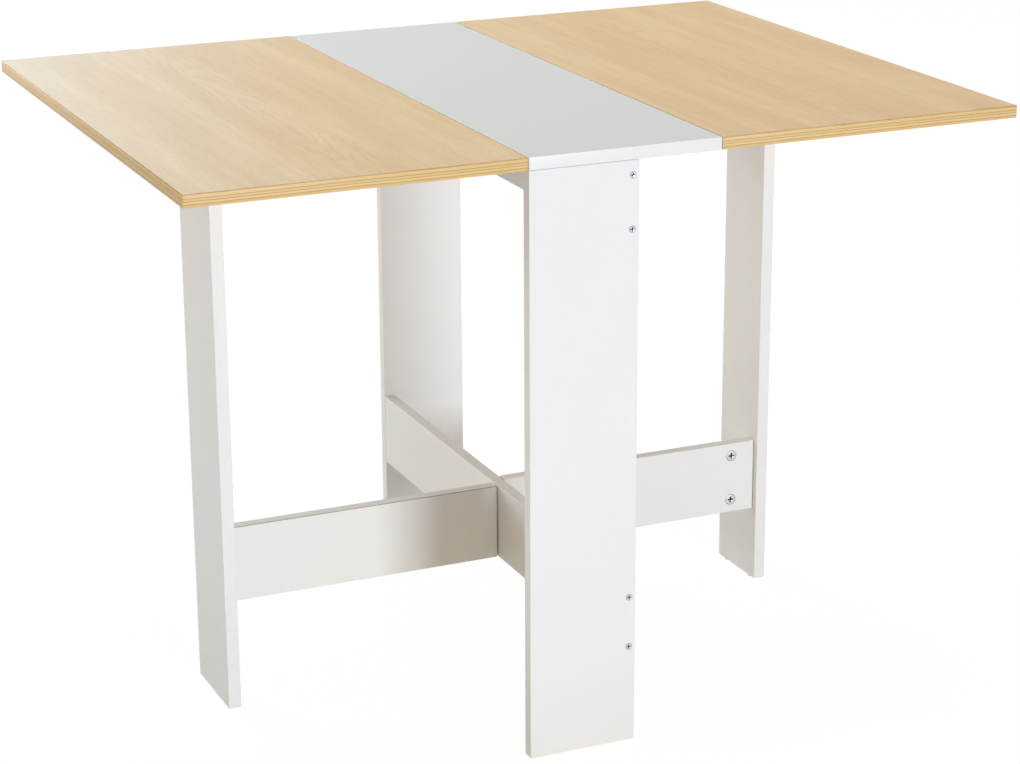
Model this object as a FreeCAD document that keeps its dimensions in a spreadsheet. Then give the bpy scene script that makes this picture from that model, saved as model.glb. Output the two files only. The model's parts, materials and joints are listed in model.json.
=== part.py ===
import FreeCAD, Part
import Sketcher
import os
import re

# Drop-leaf dining table: a narrow fixed centre on two end panels, two leaves that
# hang from it, and two gates that swing out from the rails to carry the leaves.
# Origin: middle of the footprint on the floor, X along the table, Y across it, Z up.

V = FreeCAD.Vector
doc = FreeCAD.newDocument("DropLeafTable")
sheet = doc.addObject("Spreadsheet::Sheet", "Sizes")

# Driving sizes in millimetres: alias, value, meaning
sizes = [
    ("tableLength", 1050, "length with both leaves up"),
    ("tableWidth", 800, "width, and length of each seam"),
    ("tableHeight", 740, "floor to the top surface"),
    ("centreWidth", 244, "width of the fixed centre top"),
    ("seamGap", 1, "gap between centre top and leaf"),
    ("topBoard", 15, "thickness of centre top and leaves"),
    ("frameBoard", 16, "thickness of panels, rails, stretchers and legs"),
    ("edgeBand", 1, "thickness of the glued edging"),
    ("railLift", 105, "floor to the lower rail"),
    ("railHeight", 100, "height of both rails and of the lower stretchers"),
    ("gateReach", 410, "middle of the table to the outer face of an open leg"),
    ("gateGap", 2, "gap between a rail and the end of a stretcher"),
    ("gatePinOff", 5, "gate hinge pin to each of its two wood faces"),
    ("foldGap", 1, "gap beside a folded leg"),
    ("legLift", 2.5, "floor to the underside of a leg"),
    ("legTopGap", 0.4, "running gap between a leg and the leaf above it"),
    ("upperDrop", 17, "underside of the top to an upper stretcher"),
    ("upperHeight", 80, "height of an upper stretcher"),
    ("leafHingeLength", 50, "leaf hinge along its pin"),
    ("leafHingeWidth", 30, "leaf hinge plate across its pin"),
    ("leafHingePlate", 1.5, "leaf hinge plate thickness"),
    ("leafHingeInset", 59, "inner face of an end panel to the nearest leaf hinge"),
    ("leafKnuckle", 3, "leaf hinge knuckle radius"),
    ("leafPinDrop", 3.3, "underside of the top to the leaf hinge pin"),
    ("leafPinRadius", 1.5, "leaf hinge pin radius"),
    ("leafScrewOff", 18, "leaf hinge pin to its screws"),
    ("gateHingeLength", 60, "gate hinge along its pin"),
    ("gateHingeDrop", 14, "middle of the lower rail down to the middle of its gate hinges"),
    ("gateHingeWidth", 32, "gate hinge plate across its pin"),
    ("gateHingePlate", 2, "gate hinge plate thickness"),
    ("gateKnuckle", 4.7, "gate hinge knuckle radius"),
    ("gatePinRadius", 2.5, "gate hinge pin radius"),
    ("gateScrewOff", 20, "gate hinge pin to its screws"),
    ("knuckleGap", 0.2, "gap between neighbouring knuckles"),
    ("pinClear", 0.05, "running clearance round a hinge pin"),
    ("plateClear", 0.3, "gap between a plate and the other plate's knuckle"),
    ("fitClear", 0.1, "clearance round a screw, dowel, cam or bolt"),
    ("overrun", 1, "how far a cut starts outside the wood"),
    ("smallHeadRadius", 3.1, "head radius of a small wood screw"),
    ("smallShank", 1.6, "shank radius of a small wood screw"),
    ("smallHeadDepth", 1.5, "head depth of a small wood screw"),
    ("smallScrewLength", 12, "length of a small wood screw"),
    ("gateHeadRadius", 3.6, "head radius of a gate hinge screw"),
    ("gateShank", 1.75, "shank radius of a gate hinge screw"),
    ("gateHeadDepth", 1.8, "head depth of a gate hinge screw"),
    ("gateScrewLength", 15, "length of a gate hinge screw"),
    ("panelHeadRadius", 4.5, "head radius of an end panel screw"),
    ("panelShank", 2.2, "shank radius of an end panel screw"),
    ("panelHeadDepth", 2.6, "head depth of an end panel screw"),
    ("panelScrewLength", 50, "length of an end panel screw"),
    ("panelScrewSpread", 64, "spacing of the two screws in a rail end"),
    ("tipLength", 3, "pointed end of a screw"),
    ("camRadius", 7.5, "cam lock radius"),
    ("camDepth", 12.3, "cam lock depth"),
    ("camInset", 35, "leg to the cam lock centre"),
    ("camSpread", 64, "spacing of the cams in a lower stretcher"),
    ("camSpreadUpper", 40, "spacing of the cams in an upper stretcher"),
    ("camBore", 3.8, "radius of the bolt mouth in a cam"),
    ("camMouth", 5, "how far the bolt mouth runs past the cam centre"),
    ("boltRadius", 3, "cam bolt radius"),
    ("boltHeadRadius", 3.4, "cam bolt head radius"),
    ("boltNeck", 2, "cam bolt neck radius"),
    ("boltHeadLength", 3, "cam bolt head length"),
    ("boltNeckLength", 5, "cam bolt neck length"),
    ("boltGrip", 11, "cam bolt thread in the leg"),
    ("boltRoom", 0.8, "room round a cam bolt in the stretcher"),
    ("dowelRadius", 4, "dowel radius"),
    ("dowelLength", 30, "dowel length"),
    ("dowelGrip", 11, "dowel depth in the leg"),
    ("dowelRoom", 0.5, "room at the end of a dowel"),
    ("bracketArm", 22, "arm of a top bracket"),
    ("bracketWidth", 18, "width of a top bracket"),
    ("bracketPlate", 2, "thickness of a top bracket"),
    ("bracketHoleOff", 13, "corner of a top bracket to its screws"),
    ("glideRadius", 7, "leg glide radius"),
    ("glideGap", 0.3, "running gap between a glide and the floor"),
    ("glideInset", 18, "leg edge to the glide centre"),
    ("glideNailRadius", 1.5, "leg glide nail radius"),
    ("glideNail", 12, "leg glide nail length in the leg"),
    ("recessSlot", 1.2, "width of a cross recess"),
    ("recessDepth", 1.1, "depth of a cross recess"),
    ("smallRecess", 3.6, "span of the recess in a small screw"),
    ("panelRecess", 5.2, "span of the recess in an end panel screw"),
    ("camRecess", 8.5, "span of the recess in a cam lock"),
    ("camSlot", 2, "width of the recess in a cam lock"),
    ("camRecessDepth", 2.2, "depth of the recess in a cam lock"),
]
aliases = set()
for row, (alias, value, meaning) in enumerate(sizes, start=1):
    sheet.set("A%d" % row, alias)
    sheet.set("B%d" % row, str(value))
    sheet.setAlias("B%d" % row, alias)
    sheet.set("C%d" % row, meaning)
    aliases.add(alias)
doc.recompute()

# Sizes that follow from the ones above
derived = {
    "underTop": "tableHeight - topBoard",
    "halfLength": "tableLength / 2",
    "halfWidth": "tableWidth / 2",
    "halfCentre": "centreWidth / 2",
    "innerFace": "halfWidth - frameBoard",
    "railTop": "railLift + railHeight",
    "railMiddle": "railLift + railHeight / 2",
    "upperRailFoot": "underTop - railHeight",
    "upperRailMiddle": "underTop - railHeight / 2",
    "upperTop": "underTop - upperDrop",
    "upperMiddle": "upperTop - upperHeight / 2",
    "leafWidth": "halfLength - halfCentre - seamGap",
    "leafStart": "halfCentre + seamGap",
    "leafPinX": "halfCentre + seamGap / 2",
    "leafPinZ": "underTop - leafPinDrop",
    "leafHingeSpread": "innerFace - leafHingeInset - leafHingeLength / 2",
    "leafKnuckleRun": "leafHingeLength / 3",
    "leafPlateStart": "leafKnuckle + plateClear",
    "gateKnuckleRun": "gateHingeLength / 3",
    "gatePlateStart": "gateKnuckle + plateClear",
    "leftPinX": "0 - gatePinOff",
    "leftPinY": "gatePinOff + halfWidth - gateReach",
    "rightPinX": "frameBoard + gatePinOff",
    "rightPinY": "gateReach - frameBoard - gatePinOff - halfWidth",
    "leftRun": "leftPinY - gatePinOff",
    "rightRun": "rightPinY + gatePinOff",
    "leftMiddle": "leftRun - frameBoard / 2",
    "rightMiddle": "rightRun + frameBoard / 2",
    "legLap": "2 * gatePinOff - foldGap",
    "leftLegWidth": "halfCentre - 2 * foldGap",
    "rightLegWidth": "halfCentre - frameBoard - 2 * foldGap",
    "leftLegBack": "leftRun + legLap",
    "leftLegFront": "leftLegBack - leftLegWidth",
    "rightLegFront": "rightRun - legLap",
    "rightLegBack": "rightLegFront + rightLegWidth",
    "legInner": "gateReach - frameBoard",
    "legTop": "underTop - legTopGap",
    "legHeight": "legTop - legLift",
    "leftRunLength": "legInner - gateGap",
    "rightRunLength": "legInner - frameBoard - gateGap",
    "camX": "legInner - camInset",
    "boltStart": "camX - boltHeadLength / 2",
    "boltShank": "camInset + boltHeadLength / 2",
    "dowelInner": "dowelLength - dowelGrip",
    "glideHeight": "legLift - glideGap",
    "railScrewX": "frameBoard / 2",
}
word = re.compile(r"[A-Za-z][A-Za-z0-9]*")


def cells(formula):
    # spell a formula out in cells of the sheet
    def swap(found):
        name = found.group(0)
        if name in derived:
            return "(" + cells(derived[name]) + ")"
        if name in aliases:
            return "Sizes." + name
        raise ValueError("unknown size " + name)

    return word.sub(swap, formula)


def bind(item, prop, formula):
    item.setExpression(prop, cells(formula))


def place(item, x, y, z, rotation=FreeCAD.Rotation()):
    item.Placement = FreeCAD.Placement(V(), rotation)
    for axis, formula in zip("xyz", (x, y, z)):
        bind(item, "Placement.Base." + axis, formula)


# Directions that a bore or a fastener points in
steps = {
    "+X": V(1, 0, 0),
    "-X": V(-1, 0, 0),
    "+Y": V(0, 1, 0),
    "-Y": V(0, -1, 0),
    "+Z": V(0, 0, 1),
    "-Z": V(0, 0, -1),
}
toward = {name: FreeCAD.Rotation(V(0, 0, 1), step) for name, step in steps.items()}
straight = FreeCAD.Rotation()
halfTurn = FreeCAD.Rotation(V(0, 0, 1), 180)
quarterLeft = FreeCAD.Rotation(V(0, 0, 1), 90)
quarterRight = FreeCAD.Rotation(V(0, 0, 1), -90)
counter = {"number": 0}


def fresh(stem):
    counter["number"] += 1
    return "%s_%03d" % (stem, counter["number"])


# Sketched bodies
def originPlane(body, role):
    return [part for part in body.Origin.OriginFeatures if part.Role == role][0]


def outline(body, role, corners):
    # closed outline whose corners follow the sheet: each a pair of formulas, zero lies on the axis
    sketch = body.newObject("Sketcher::SketchObject", fresh("Outline"))
    sketch.AttachmentSupport = [(originPlane(body, role), "")]
    sketch.MapMode = "FlatFace"
    count = len(corners)
    start = []
    for index, (u, v) in enumerate(corners):
        start.append(V(0 if u == "0" else 1 + index, 0 if v == "0" else 1 + index * index, 0))
    for index in range(count):
        sketch.addGeometry(Part.LineSegment(start[index], start[(index + 1) % count]), False)
    for index in range(count):
        sketch.addConstraint(Sketcher.Constraint("Coincident", index, 2, (index + 1) % count, 1))
    for index, (u, v) in enumerate(corners):
        for kind, formula, axis in (("DistanceX", u, -2), ("DistanceY", v, -1)):
            if formula == "0":
                sketch.addConstraint(Sketcher.Constraint("PointOnObject", index, 1, axis))
            else:
                at = start[index].x if kind == "DistanceX" else start[index].y
                number = sketch.addConstraint(Sketcher.Constraint(kind, -1, 1, index, 1, at))
                bind(sketch, "Constraints[%d]" % number, formula)
    return sketch


def board(label, long, wide, thick, x, y, z):
    # rectangular board: sketched on the floor plane and padded upwards
    body = doc.addObject("PartDesign::Body", label)
    sketch = outline(body, "XY_Plane", [("0", "0"), (long, "0"), (long, wide), ("0", wide)])
    pad = body.newObject("PartDesign::Pad", fresh("Pad"))
    pad.Profile = sketch
    bind(pad, "Length", thick)
    place(body, x, y, z)
    return body


def turned(label, corners):
    # body of revolution about Z: corners are (radius, height) formulas
    body = doc.addObject("PartDesign::Body", label)
    sketch = outline(body, "XZ_Plane", corners)
    turn = body.newObject("PartDesign::Revolution", fresh("Turn"))
    turn.Profile = sketch
    turn.ReferenceAxis = (sketch, ["V_Axis"])
    turn.Angle = 360
    return body


# Primitives, cuts and groups
def block(long, wide, high, x, y, z):
    item = doc.addObject("Part::Box", fresh("Block"))
    bind(item, "Length", long)
    bind(item, "Width", wide)
    bind(item, "Height", high)
    place(item, x, y, z)
    return item


def rod(radius, length, x, y, z, way):
    item = doc.addObject("Part::Cylinder", fresh("Rod"))
    bind(item, "Radius", radius)
    bind(item, "Height", length)
    place(item, x, y, z, toward[way])
    return item


def bore(radius, depth, x, y, z, way):
    # drilled hole that starts a little outside the wood
    back = {"+": " - overrun", "-": " + overrun"}[way[0]]
    start = {"X": x, "Y": y, "Z": z}
    start[way[1]] += back
    return rod(radius, depth + " + overrun", start["X"], start["Y"], start["Z"], way)


def sink(headRadius, shank, headDepth, x, y, z, way):
    # countersink for a flush head
    item = doc.addObject("Part::Cone", fresh("Sink"))
    bind(item, "Radius1", headRadius + " + fitClear")
    bind(item, "Radius2", shank + " + fitClear")
    bind(item, "Height", headDepth)
    place(item, x, y, z, toward[way])
    return item


def smallSink(x, y, z, way):
    return sink("smallHeadRadius", "smallShank", "smallHeadDepth", x, y, z, way)


def joined(items):
    item = doc.addObject("Part::MultiFuse", fresh("Joined"))
    item.Shapes = items
    return item


def carved(label, base, tools):
    item = doc.addObject("Part::Cut", label)
    item.Base = base
    item.Tool = joined(tools) if len(tools) > 1 else tools[0]
    return item


def crossRecess(span, slot, depth):
    # two crossing slots in the face of a head
    return [
        block(span, slot, depth, "0 - %s / 2" % span, "0 - %s / 2" % slot, "0"),
        block(slot, span, depth, "0 - %s / 2" % slot, "0 - %s / 2" % span, "0"),
    ]


nodes = []


def keep(item):
    nodes.append(item)
    return item


def copies(label, pattern, places):
    # several copies of one pattern piece, as a group of separate solids
    group = doc.addObject("Part::Compound", label)
    links = []
    for x, y, z, rotation in places:
        link = doc.addObject("App::Link", fresh("Copy"))
        link.LinkedObject = pattern
        place(link, x, y, z, rotation)
        links.append(link)
    group.Links = links
    return keep(group)


def group(label, items):
    item = doc.addObject("Part::Compound", label)
    item.Links = items
    return keep(item)


# Hole radii and depths that several pieces share
smallHole = "smallShank + fitClear"
gateHole = "gateShank + fitClear"
panelHole = "panelShank + fitClear"
smallBite = "smallScrewLength - smallHeadDepth + fitClear"
gateBite = "gateScrewLength - gateHingePlate + fitClear"
panelBite = "panelScrewLength - frameBoard + fitClear"
dowelHole = "dowelRadius + fitClear"
thirds = (" - gateHingeLength / 3", "", " + gateHingeLength / 3")


# Pattern pieces: fasteners point along Z with the head's face at zero
def screwPattern(label, headRadius, shank, headDepth, length, recess):
    corners = [
        ("0", "0"),
        (headRadius, "0"),
        (shank, headDepth),
        (shank, length + " - tipLength"),
        ("0", length),
    ]
    blank = turned(label + "Blank", corners)
    return carved(label, blank, crossRecess(recess, "recessSlot", "recessDepth"))


smallScrew = screwPattern(
    "smallScrew", "smallHeadRadius", "smallShank", "smallHeadDepth", "smallScrewLength", "smallRecess"
)
gateScrew = screwPattern(
    "gateScrew", "gateHeadRadius", "gateShank", "gateHeadDepth", "gateScrewLength", "smallRecess"
)
panelScrew = screwPattern(
    "panelScrew", "panelHeadRadius", "panelShank", "panelHeadDepth", "panelScrewLength", "panelRecess"
)
camBlank = turned(
    "camBlank",
    [("0", "0"), ("camRadius", "0"), ("camRadius", "camDepth"), ("0", "camDepth")],
)
mouth = rod("camBore", "camRadius + camMouth + overrun", "0 - camMouth", "0", "frameBoard / 2", "+X")
camLock = carved("camLock", camBlank, [mouth] + crossRecess("camRecess", "camSlot", "camRecessDepth"))
camBolt = turned(
    "camBolt",
    [
        ("0", "0"),
        ("boltHeadRadius", "0"),
        ("boltHeadRadius", "boltHeadLength"),
        ("boltNeck", "boltHeadLength"),
        ("boltNeck", "boltHeadLength + boltNeckLength"),
        ("boltRadius", "boltHeadLength + boltNeckLength"),
        ("boltRadius", "boltShank + boltGrip"),
        ("0", "boltShank + boltGrip"),
    ],
)
dowel = turned(
    "dowel",
    [("0", "0"), ("dowelRadius", "0"), ("dowelRadius", "dowelLength"), ("0", "dowelLength")],
)
glide = turned(
    "glide",
    [
        ("0", "0"),
        ("glideRadius - glideGap", "0"),
        ("glideRadius", "glideHeight / 2"),
        ("glideRadius", "glideHeight"),
        ("glideNailRadius", "glideHeight"),
        ("glideNailRadius", "glideHeight + glideNail"),
        ("0", "glideHeight + glideNail"),
    ],
)


# Leaf hinge pattern: pin along Y at zero, fixed plate towards -X, moving plate towards +X
def leafPlate(label, side, knuckles, screwSide):
    reach = "leafHingeWidth - leafPlateStart"
    start = "leafPlateStart" if side > 0 else "0 - leafHingeWidth"
    under = "leafPinDrop - leafHingePlate"
    half = "0 - leafHingeLength / 2"
    boreRadius = "leafPinRadius + pinClear"
    boreLength = "leafHingeLength + 2 * overrun"
    solid = [block(reach, "leafHingeLength", "leafHingePlate", start, half, under)]
    tab = "0" if side > 0 else "0 - leafPlateStart"
    for first, run in knuckles:
        solid.append(block("leafPlateStart", run, "leafHingePlate", tab, first, under))
        solid.append(rod("leafKnuckle", run, "0", first, "0", "+Y"))
    tools = [rod(boreRadius, boreLength, "0", half + " - overrun", "0", "+Y")]
    for y in ("leafHingeLength / 4", "0 - leafHingeLength / 4"):
        tools.append(smallSink(screwSide, y, under, "+Z"))
        tools.append(bore(smallHole, "leafHingePlate + overrun", screwSide, y, under, "+Z"))
    return carved(label, joined(solid), tools)


leafFixedPlate = leafPlate(
    "leafFixedPlate",
    -1,
    [("0 - leafHingeLength / 2", "leafKnuckleRun"), ("leafKnuckleRun / 2", "leafKnuckleRun")],
    "0 - leafScrewOff",
)
leafMovingPlate = leafPlate(
    "leafMovingPlate",
    1,
    [("knuckleGap - leafKnuckleRun / 2", "leafKnuckleRun - 2 * knuckleGap")],
    "leafScrewOff",
)
leafPin = rod("leafPinRadius", "leafHingeLength", "0", "0", "0", "+Z")


# Gate hinge pattern, left side: pin along Z at zero, rail face at +X, stretcher face at -Y
def gatePlate(label, onRail, knuckles):
    plate = "gateHingePlate"
    high = "gateHingeLength"
    start = "gatePlateStart"
    reach = "gateHingeWidth - gatePlateStart"
    foot = "0 - gateHingeLength / 2"
    under = "gatePinOff - gateHingePlate"
    face = "0 - gatePinOff"
    boreRadius = "gatePinRadius + pinClear"
    boreLength = "gateHingeLength + 2 * overrun"
    if onRail:
        solid = [block(plate, reach, high, under, start, foot)]
    else:
        solid = [block(reach, plate, high, "0 - gateHingeWidth", face, foot)]
    for first, run in knuckles:
        if onRail:
            solid.append(block(plate, start, run, under, "0", first))
        else:
            solid.append(block(start, plate, run, "0 - gatePlateStart", face, first))
        solid.append(rod("gateKnuckle", run, "0", "0", first, "+Z"))
    tools = [rod(boreRadius, boreLength, "0", "0", foot + " - overrun", "+Z")]
    for z in ("0 - gateHingeLength / 3", "0", "gateHingeLength / 3"):
        if onRail:
            spot = (under, "gateScrewOff", z, "+X")
        else:
            spot = ("0 - gateScrewOff", "gateHingePlate - gatePinOff", z, "-Y")
        tools.append(sink("gateHeadRadius", "gateShank", "gateHeadDepth", *spot))
        tools.append(bore(gateHole, "gateHingePlate + overrun", *spot))
    return carved(label, joined(solid), tools)


gateRailPlate = gatePlate(
    "gateRailPlate",
    True,
    [("0 - gateHingeLength / 2", "gateKnuckleRun"), ("gateKnuckleRun / 2", "gateKnuckleRun")],
)
gateSwingPlate = gatePlate(
    "gateSwingPlate",
    False,
    [("knuckleGap - gateKnuckleRun / 2", "gateKnuckleRun - 2 * knuckleGap")],
)
gatePin = rod("gatePinRadius", "gateHingeLength", "0", "0", "0", "+Z")

# Top bracket pattern: wood of the upright at +X, underside of the top at zero
arm = "bracketArm"
wide = "bracketWidth"
plate = "bracketPlate"
side = "0 - bracketWidth / 2"
holeAt = "0 - bracketHoleOff"
through = "bracketPlate + overrun"
arms = [
    block(plate, wide, arm, "0 - bracketPlate", side, "0 - bracketArm"),
    block(arm, wide, plate, "0 - bracketArm", side, "0 - bracketPlate"),
]
armHoles = [
    smallSink("0 - bracketPlate", "0", holeAt, "+X"),
    bore(smallHole, through, "0 - bracketPlate", "0", holeAt, "+X"),
    smallSink(holeAt, "0", "0 - bracketPlate", "+Z"),
    bore(smallHole, through, holeAt, "0", "0 - bracketPlate", "+Z"),
]
bracket = carved("bracket", joined(arms), armHoles)

# Places that more than one piece needs
leafHingeYs = ["0 - leafHingeSpread", "0", "leafHingeSpread"]
leafScrewYs = ["%s %s leafHingeLength / 4" % (y, sign) for y in leafHingeYs for sign in "+-"]
gateHingeZs = ["railMiddle - gateHingeDrop", "upperMiddle"]
lowerHingeZ, upperHingeZ = gateHingeZs
gateScrewZs = [z + more for z in gateHingeZs for more in thirds]
lowerCamZs = ["railMiddle - camSpread / 2", "railMiddle + camSpread / 2"]
upperCamZs = ["upperMiddle - camSpreadUpper / 2", "upperMiddle + camSpreadUpper / 2"]
railMiddles = ("railMiddle", "upperRailMiddle")
railEndZs = ["%s %s panelScrewSpread / 2" % (z, sign) for z in railMiddles for sign in "-+"]

leftRailScrewY = "leftPinY + gateScrewOff"
rightRailScrewY = "rightPinY - gateScrewOff"
bracketSideZ = "underTop - bracketHoleOff"

# Where the rail brackets stand between a gate and an end panel
bracketShares = ("0.35", "0.75")
leftFree = "leftRun - frameBoard"
rightFree = "rightRun + frameBoard"

# Each bracket: corner place, rotation, and way into the upright
brackets = []
for share in bracketShares:
    y = "%s - (innerFace + %s) * %s" % (leftFree, leftFree, share)
    brackets.append(("0", y, straight, "+X"))
for share in bracketShares:
    y = "%s + (innerFace - (%s)) * %s" % (rightFree, rightFree, share)
    brackets.append(("frameBoard", y, halfTurn, "-X"))
brackets.append(("0 - halfCentre / 2", "0 - innerFace", quarterRight, "-Y"))
brackets.append(("halfCentre / 2", "innerFace", quarterLeft, "+Y"))


def offWood(x, y, way, off):
    # point a given distance out of an upright's face
    sign = " - " if way[0] == "+" else " + "
    if way[1] == "X":
        return x + sign + off, y
    return x, y + sign + off


bracketTopBores = []
bracketSideBores = {"+X": [], "-X": [], "-Y": [], "+Y": []}
bracketScrews = []
for x, y, rotation, way in brackets:
    topX, topY = offWood(x, y, way, "bracketHoleOff")
    sideX, sideY = offWood(x, y, way, "bracketPlate")
    bracketTopBores.append((topX, topY))
    bracketSideBores[way].append((x, y))
    bracketScrews.append((topX, topY, "underTop - bracketPlate", toward["+Z"]))
    bracketScrews.append((sideX, sideY, bracketSideZ, toward[way]))


# Tops: centre board and two leaves, each with its own edging
def edging(label, x, long):
    side = "tableWidth"
    inner = long + " - 2 * edgeBand"
    strips = [
        block("edgeBand", side, "topBoard", x, "0 - halfWidth", "underTop"),
        block("edgeBand", side, "topBoard", x + " + " + long + " - edgeBand", "0 - halfWidth", "underTop"),
        block(inner, "edgeBand", "topBoard", x + " + edgeBand", "0 - halfWidth", "underTop"),
        block(inner, "edgeBand", "topBoard", x + " + edgeBand", "halfWidth - edgeBand", "underTop"),
    ]
    return group(label, strips)


def topBoardPiece(label, x, long, screws):
    core = board(
        label + "_board",
        long + " - 2 * edgeBand",
        "tableWidth - 2 * edgeBand",
        "topBoard",
        x + " + edgeBand",
        "edgeBand - halfWidth",
        "underTop",
    )
    bores = [bore(smallHole, smallBite, at[0], at[1], "underTop", "+Z") for at in screws]
    return keep(carved(label, core, bores))


centreScrewXs = ("leafPinX - leafScrewOff", "leafScrewOff - leafPinX")
centreScrews = [(x, y) for x in centreScrewXs for y in leafScrewYs]
leftScrews = [("0 - leafPinX - leafScrewOff", y) for y in leafScrewYs]
rightScrews = [("leafPinX + leafScrewOff", y) for y in leafScrewYs]
topBoardPiece("centre_top", "0 - halfCentre", "centreWidth", centreScrews + bracketTopBores)
edging("centre_top_edging", "0 - halfCentre", "centreWidth")
topBoardPiece("left_leaf", "0 - halfLength", "leafWidth", leftScrews)
edging("left_leaf_edging", "0 - halfLength", "leafWidth")
topBoardPiece("right_leaf", "leafStart", "leafWidth", rightScrews)
edging("right_leaf_edging", "leafStart", "leafWidth")


# Frame: end panels and the two rails between them
def endPanel(label, x, long, y, outer, inward, outward):
    blank = board(label + "_board", long, "frameBoard", "underTop", x, y, "0")
    head = ("panelHeadRadius", "panelShank", "panelHeadDepth")
    tools = []
    for z in railEndZs:
        tools.append(sink(*head, "railScrewX", outer, z, inward))
        tools.append(bore(panelHole, "frameBoard + overrun", "railScrewX", outer, z, inward))
    for sideX, sideY in bracketSideBores[outward]:
        tools.append(bore(smallHole, smallBite, sideX, sideY, bracketSideZ, outward))
    return keep(carved(label, blank, tools))


frontLong = "halfCentre + frameBoard"
endPanel("front_panel", "0 - halfCentre", frontLong, "0 - halfWidth", "0 - halfWidth", "+Y", "-Y")
endPanel("back_panel", "0", "halfCentre", "innerFace", "halfWidth", "-Y", "+Y")


def rail(label, z, middle, hingeZ, sideBores):
    front = "0 - innerFace"
    blank = board(label + "_board", "frameBoard", "2 * innerFace", "railHeight", "0", front, z)
    tools = []
    for sign in "-+":
        height = middle + " " + sign + " panelScrewSpread / 2"
        tools.append(bore(panelHole, panelBite, "railScrewX", front, height, "+Y"))
        tools.append(bore(panelHole, panelBite, "railScrewX", "innerFace", height, "-Y"))
    for more in thirds:
        height = hingeZ + more
        tools.append(bore(gateHole, gateBite, "0", leftRailScrewY, height, "+X"))
        tools.append(bore(gateHole, gateBite, "frameBoard", rightRailScrewY, height, "-X"))
    for way, sideX, sideY in sideBores:
        tools.append(bore(smallHole, smallBite, sideX, sideY, bracketSideZ, way))
    return keep(carved(label, blank, tools))


upperBores = [(way, x, y) for way in ("+X", "-X") for x, y in bracketSideBores[way]]
rail("lower_rail", "railLift", "railMiddle", lowerHingeZ, [])
rail("upper_rail", "upperRailFoot", "upperRailMiddle", upperHingeZ, upperBores)
copies(
    "front_panel_screws",
    panelScrew,
    [("railScrewX", "0 - halfWidth", z, toward["+Y"]) for z in railEndZs],
)
copies(
    "back_panel_screws",
    panelScrew,
    [("railScrewX", "halfWidth", z, toward["-Y"]) for z in railEndZs],
)
bracketPlaces = [(x, y, "underTop", rotation) for x, y, rotation, way in brackets]
copies("top_brackets", bracket, bracketPlaces)
copies("top_bracket_screws", smallScrew, bracketScrews)

# Gates: one leg, two stretchers and their fittings on each side
gates = [
    {
        "side": "left",
        "sign": "0 - ",
        "pin": ("leftPinX", "leftPinY"),
        "turn": straight,
        "legX": "0 - gateReach",
        "legY": "leftLegFront",
        "legWidth": "leftLegWidth",
        "runX": "0 - legInner",
        "runY": "leftRun - frameBoard",
        "runLength": "leftRunLength",
        "face": "leftRun",
        "middle": "leftMiddle",
        "intoWood": "-Y",
        "toLeg": "-X",
        "fromLeg": "+X",
        "camTurn": halfTurn.multiply(FreeCAD.Rotation(V(1, 0, 0), -90)),
        "hingeX": "leftPinX - gateScrewOff",
        "railHead": "0 - gateHingePlate",
        "railScrewY": leftRailScrewY,
        "swingHead": "leftRun + gateHingePlate",
        "glideYs": ("leftLegFront + glideInset", "leftLegBack - glideInset"),
    },
    {
        "side": "right",
        "sign": "",
        "pin": ("rightPinX", "rightPinY"),
        "turn": halfTurn,
        "legX": "legInner",
        "legY": "rightLegFront",
        "legWidth": "rightLegWidth",
        "runX": "frameBoard + gateGap",
        "runY": "rightRun",
        "runLength": "rightRunLength",
        "face": "rightRun",
        "middle": "rightMiddle",
        "intoWood": "+Y",
        "toLeg": "+X",
        "fromLeg": "-X",
        "camTurn": FreeCAD.Rotation(V(1, 0, 0), -90),
        "hingeX": "rightPinX + gateScrewOff",
        "railHead": "frameBoard + gateHingePlate",
        "railScrewY": rightRailScrewY,
        "swingHead": "rightRun - gateHingePlate",
        "glideYs": ("rightLegFront + glideInset", "rightLegBack - glideInset"),
    },
]


def stretcher(gate, name, z, height, middle, hingeZ, camZs):
    label = gate["side"] + name
    blank = board(label + "_board", gate["runLength"], "frameBoard", height, gate["runX"], gate["runY"], z)
    camAt = gate["sign"] + "camX"
    endAt = gate["sign"] + "legInner"
    face = gate["face"]
    inWood = gate["intoWood"]
    fromLeg = gate["fromLeg"]
    mid = gate["middle"]
    tools = []
    for camZ in camZs:
        tools.append(bore("camRadius + fitClear", "camDepth + fitClear", camAt, face, camZ, inWood))
        tools.append(bore("boltRadius + boltRoom", "camInset", endAt, mid, camZ, fromLeg))
    tools.append(bore(dowelHole, "dowelInner + dowelRoom", endAt, mid, middle, fromLeg))
    for more in thirds:
        tools.append(bore(gateHole, gateBite, gate["hingeX"], face, hingeZ + more, inWood))
    return keep(carved(label, blank, tools))


def leg(gate):
    label = gate["side"] + "_leg"
    x = gate["legX"]
    blank = board(label + "_board", "frameBoard", gate["legWidth"], "legHeight", x, gate["legY"], "legLift")
    endAt = gate["sign"] + "legInner"
    mid = gate["middle"]
    toLeg = gate["toLeg"]
    glideHole = "glideNailRadius + fitClear"
    tools = []
    for camZ in lowerCamZs + upperCamZs:
        tools.append(bore("boltRadius + fitClear", "boltGrip + fitClear", endAt, mid, camZ, toLeg))
    for z in ("railMiddle", "upperMiddle"):
        tools.append(bore(dowelHole, "dowelGrip + dowelRoom", endAt, mid, z, toLeg))
    for y in gate["glideYs"]:
        centre = x + " + frameBoard / 2"
        tools.append(bore(glideHole, "glideNail + fitClear", centre, y, "legLift", "+Z"))
    return keep(carved(label, blank, tools))


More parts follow.
